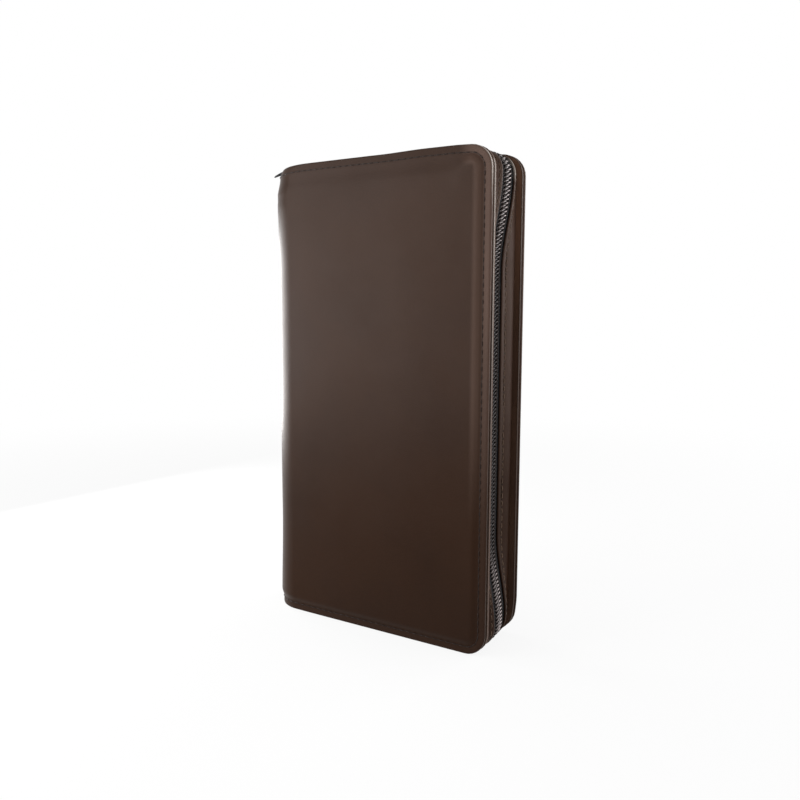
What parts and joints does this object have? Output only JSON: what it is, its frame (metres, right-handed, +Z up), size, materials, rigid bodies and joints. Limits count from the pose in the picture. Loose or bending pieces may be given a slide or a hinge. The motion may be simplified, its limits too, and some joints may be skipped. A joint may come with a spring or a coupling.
{
  "type": "travel document organizer",
  "caption": "Tall slim zip-around leather travel organizer with a rounded spine, padded covers and inner pockets for passport, tickets and cards; opens flat like a book.",
  "frame": {"origin": "under the middle of the whole object, on the surface that it stands on", "axes": "+Z up along the height, +X from the rounded spine to the opening edge, +Y from the front cover to the back cover"},
  "size_m": [0.1354, 0.036, 0.2288],
  "materials": {
    "leather": "smooth semi-gloss dark chocolate leather",
    "gusset_leather": "smooth semi-matt dark brown leather with a folded edge",
    "lining_leather": "smooth matt brown leather with a pale cut edge",
    "pocket_leather": "smooth matt brown leather",
    "board": "dark grey-brown fibre board",
    "zip_tape": "black woven tape",
    "zip_teeth": "metallised gunmetal coil",
    "gunmetal": "polished gunmetal plate",
    "elastic": "soft brown leather loop"
  },
  "bodies": {
    "back": {"back_cover_leather": "leather", "back_core_board": "board", "back_inner_leather": "lining_leather", "back_gusset": "gusset_leather", "back_zip_tape": "zip_tape", "back_zip_teeth": "zip_teeth", "back_top_stop": "gunmetal", "zip_bottom_stop": "gunmetal", "ticket_pocket": "pocket_leather", "passport_pocket": "pocket_leather"},
    "spine_back": {"spine_leather_back": "leather", "spine_lining_back": "lining_leather"},
    "spine_middle": {"spine_leather_middle": "leather", "spine_lining_middle": "lining_leather", "zip_end_tab": "zip_tape", "pen_loop": "elastic"},
    "spine_front": {"spine_leather_front": "leather", "spine_lining_front": "lining_leather"},
    "front": {"front_cover_leather": "leather", "front_core_board": "board", "front_inner_leather": "lining_leather", "front_gusset": "gusset_leather", "front_zip_tape": "zip_tape", "front_zip_teeth": "zip_teeth", "front_top_stop": "gunmetal", "slip_pocket": "pocket_leather", "card_slot_1": "pocket_leather", "card_slot_2": "pocket_leather", "card_slot_3": "pocket_leather", "card_slot_4": "pocket_leather", "card_slot_5": "pocket_leather", "card_slot_6": "pocket_leather"},
    "slider": {"zip_slider": "gunmetal"},
    "pull": {"pull_tab": "gunmetal"}
  },
  "joints": [
    {"name": "cover_opening", "type": "hinge", "parent": "back", "child": "spine_back", "pos_m": [-0.0424, 0.018, 0.113], "axis": [0, 0, -1], "range_deg": [0, 30]},
    {"name": "spine_back_fold", "type": "hinge", "parent": "spine_back", "child": "spine_middle", "pos_m": [-0.05799, 0.009, 0.113], "axis": [0, 0, -1], "range_deg": [0, 60]},
    {"name": "spine_front_fold", "type": "hinge", "parent": "spine_middle", "child": "spine_front", "pos_m": [-0.05799, -0.009, 0.113], "axis": [0, 0, -1], "range_deg": [0, 60]},
    {"name": "front_cover_fold", "type": "hinge", "parent": "spine_front", "child": "front", "pos_m": [-0.0424, -0.018, 0.113], "axis": [0, 0, -1], "range_deg": [0, 30]},
    {"name": "zip_slide", "type": "slide", "parent": "back", "child": "slider", "axis": [1, 0, 0], "range_m": [0, 0.085], "deforming": ["front_zip_teeth", "back_zip_teeth"]},
    {"name": "pull_swing", "type": "hinge", "parent": "slider", "child": "pull", "pos_m": [-0.0328, 0, 0.22745], "axis": [0, -1, 0], "range_deg": [0, 170]}
  ],
  "couplings": [
    {"joint": "spine_back_fold", "follows": "cover_opening", "ratio": 2},
    {"joint": "spine_front_fold", "follows": "cover_opening", "ratio": 2},
    {"joint": "front_cover_fold", "follows": "cover_opening", "ratio": 1}
  ]
}
